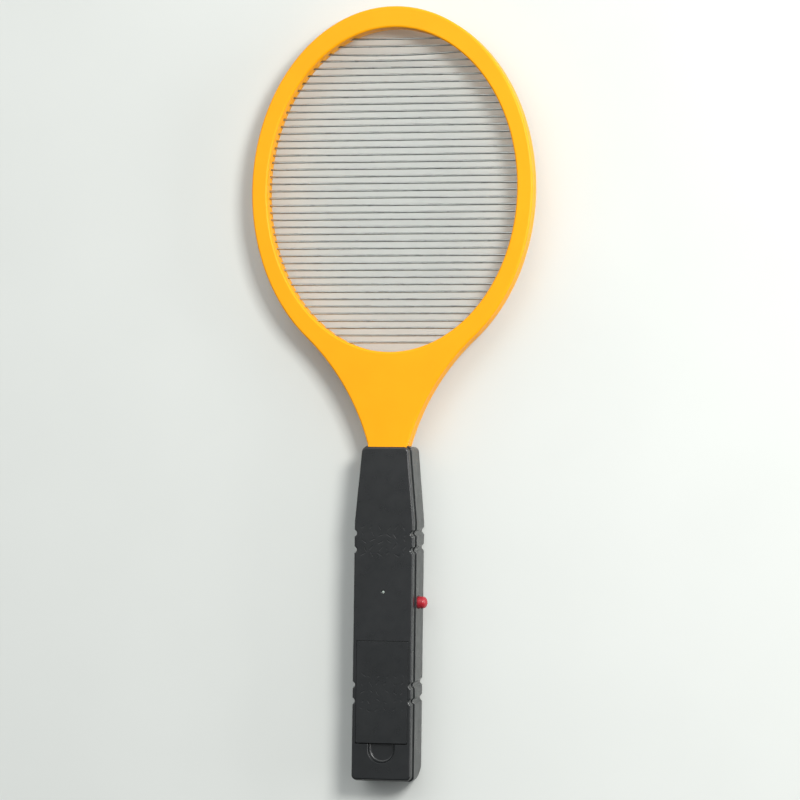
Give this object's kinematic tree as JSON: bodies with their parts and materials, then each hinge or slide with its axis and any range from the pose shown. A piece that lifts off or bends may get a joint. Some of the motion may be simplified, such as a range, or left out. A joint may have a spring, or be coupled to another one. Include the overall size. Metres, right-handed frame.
{
  "type": "electric fly swatter",
  "caption": "Racket-shaped electric fly swatter: oval plastic head with a grid of parallel live wires on a square battery handle with a side push button.",
  "frame": {"origin": "middle of the whole width and length, on the plane of the handle's flat back, which the swatter lies on", "axes": "+X to the right seen from the front, the side with the push button; +Y from the handle to the tip of the head; +Z out of the front face"},
  "size_m": [0.161, 0.431, 0.025],
  "materials": {
    "yellow_plastic": "satin",
    "black_plastic": "satin",
    "red_plastic": "gloss",
    "grid_steel": "satin",
    "screw_steel": "satin",
    "spring_steel": "polished",
    "board_resin": "matte",
    "dark_resin": "satin",
    "ferrite": "matte",
    "nylon": "satin",
    "winding_tape": "satin",
    "capacitor_epoxy": "gloss",
    "ceramic_blue": "satin",
    "resistor_coat": "satin",
    "lens": "gloss",
    "red_lead": "satin",
    "black_lead": "satin",
    "cell_jacket": "satin"
  },
  "bodies": {
    "swatter": {"head_front_frame": "yellow_plastic", "head_rear_frame": "yellow_plastic", "grid_comb_left": "grid_steel", "grid_comb_right": "grid_steel", "grid_lead_left": "red_lead", "grid_lead_right": "black_lead", "head_screw_1": "screw_steel", "head_screw_2": "screw_steel", "head_screw_3": "screw_steel", "head_screw_4": "screw_steel", "head_screw_5": "screw_steel", "head_screw_6": "screw_steel", "head_screw_7": "screw_steel", "handle_front_shell": "black_plastic", "handle_rear_shell": "black_plastic", "handle_screw_1": "screw_steel", "handle_screw_2": "screw_steel", "handle_screw_3": "screw_steel", "handle_screw_4": "screw_steel", "handle_screw_5": "screw_steel", "battery_1": "cell_jacket", "battery_2": "cell_jacket", "battery_link_contact": "spring_steel", "battery_positive_contact": "spring_steel", "battery_negative_contact": "spring_steel", "battery_lead_positive": "red_lead", "battery_lead_negative": "black_lead", "circuit_board": "board_resin", "board_screw_1": "screw_steel", "board_screw_2": "screw_steel", "switch_body": "dark_resin", "indicator_led": "lens", "transformer_core": "ferrite", "transformer_bobbin": "nylon", "transformer_winding": "winding_tape", "storage_capacitor": "capacitor_epoxy", "multiplier_capacitor_1": "ceramic_blue", "multiplier_capacitor_2": "ceramic_blue", "diode_1": "dark_resin", "diode_2": "dark_resin", "diode_3": "dark_resin", "bias_resistor": "resistor_coat", "led_resistor": "resistor_coat", "discharge_resistor": "resistor_coat", "transistor": "dark_resin"},
    "cover": {"battery_cover": "black_plastic"},
    "button": {"push_button": "red_plastic"},
    "plunger": {"switch_plunger": "nylon"}
  },
  "joints": [
    {"name": "battery_cover_hinge", "type": "hinge", "parent": "swatter", "child": "cover", "pos_m": [0, -0.13795, 0.025], "axis": [-1, 0, 0], "range_deg": [0, 80]},
    {"name": "push_button_travel", "type": "slide", "parent": "swatter", "child": "button", "axis": [-1, 0, 0], "range_m": [0, 0.0012], "stiffness_N_per_m": 600},
    {"name": "switch_plunger_travel", "type": "slide", "parent": "swatter", "child": "plunger", "axis": [-1, 0, 0], "range_m": [0, 0.0012]}
  ],
  "couplings": [
    {"joint": "switch_plunger_travel", "follows": "push_button_travel", "ratio": 1}
  ]
}
